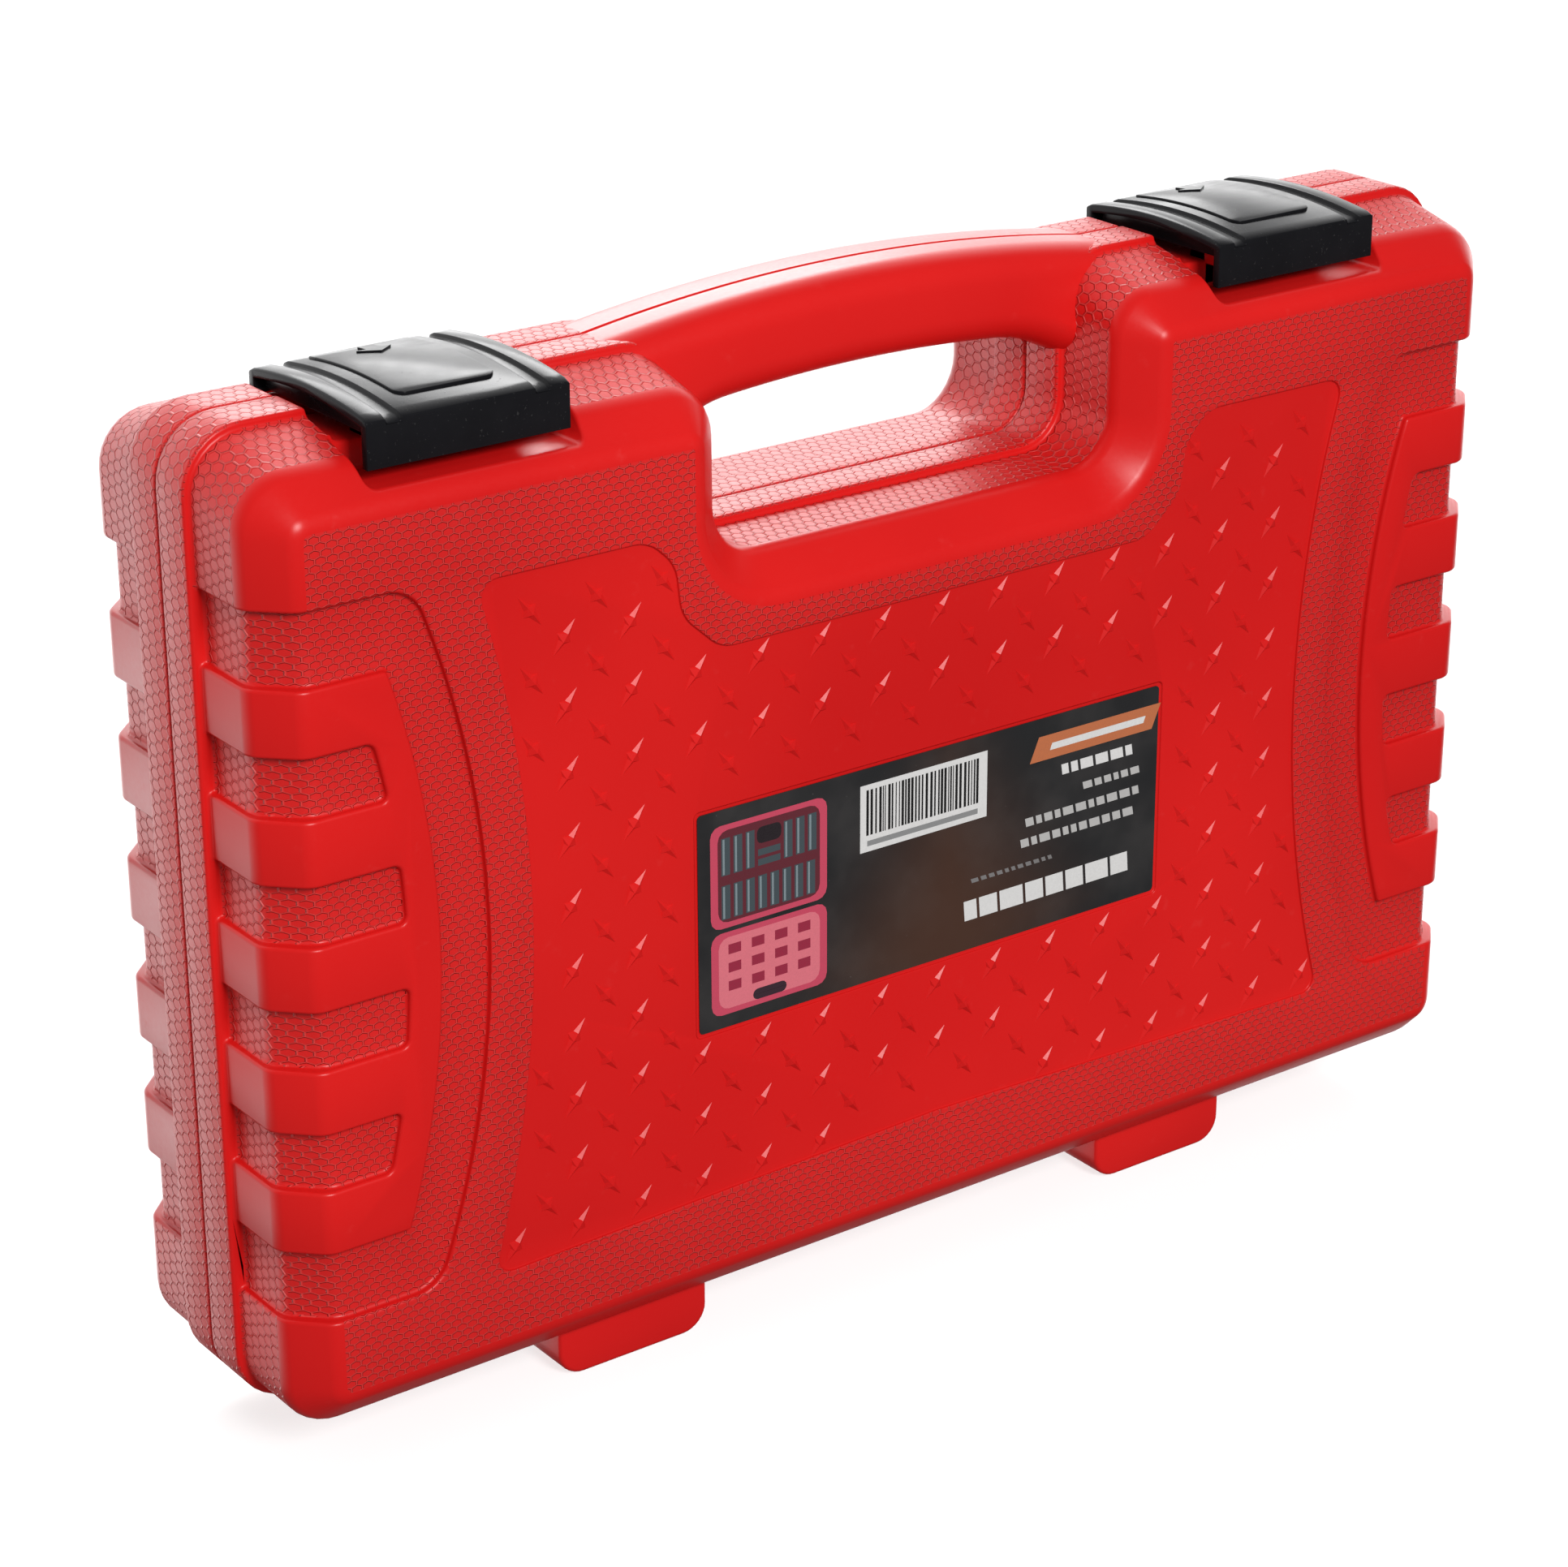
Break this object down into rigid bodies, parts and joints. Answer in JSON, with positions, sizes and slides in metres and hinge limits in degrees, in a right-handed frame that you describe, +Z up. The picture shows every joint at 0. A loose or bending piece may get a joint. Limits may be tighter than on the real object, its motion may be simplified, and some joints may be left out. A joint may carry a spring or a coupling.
{
  "type": "impact socket set in carrying case",
  "caption": "Blow-moulded carrying case with hinged lid, two arched latches and a moulded handle, holding nested deep impact sockets.",
  "frame": {"origin": "on the ground, under the middle of the hinge line, where the two case halves meet", "axes": "+X along the case to the right, -Y towards the lid with the label, +Z up towards the handle"},
  "size_m": [0.374, 0.0816, 0.2593],
  "materials": {
    "case_red": "blow-moulded polyethylene, honeycomb grain and smooth edges",
    "label": "printed film",
    "latch_black": "glossy moulded plastic",
    "pin_steel": "drawn wire",
    "impact_steel": "black phosphate"
  },
  "bodies": {
    "base": {"base_shell": "case_red", "hinge_pin_left": "pin_steel", "hinge_pin_right": "pin_steel", "socket_10": "impact_steel", "socket_11": "impact_steel", "socket_12": "impact_steel", "socket_13": "impact_steel", "socket_14": "impact_steel", "socket_15": "impact_steel", "socket_16": "impact_steel", "socket_17": "impact_steel", "socket_18": "impact_steel", "socket_19": "impact_steel", "socket_21": "impact_steel", "socket_22": "impact_steel", "socket_24": "impact_steel", "socket_27": "impact_steel", "socket_30": "impact_steel", "socket_32": "impact_steel"},
    "lid": {"lid_shell": "case_red", "label": "label", "latch_pin_left": "pin_steel", "latch_pin_right": "pin_steel"},
    "latch_left": {"latch_left": "latch_black"},
    "latch_right": {"latch_right": "latch_black"}
  },
  "joints": [
    {"name": "lid_hinge", "type": "hinge", "parent": "base", "child": "lid", "pos_m": [0, 0, 0.0063], "axis": [1, 0, 0], "range_deg": [0, 180]},
    {"name": "latch_left_pivot", "type": "hinge", "parent": "lid", "child": "latch_left", "pos_m": [-0.127, -0.0285, 0.2485], "axis": [1, 0, 0], "range_deg": [0, 95]},
    {"name": "latch_right_pivot", "type": "hinge", "parent": "lid", "child": "latch_right", "pos_m": [0.1185, -0.0285, 0.2485], "axis": [1, 0, 0], "range_deg": [0, 95]}
  ]
}
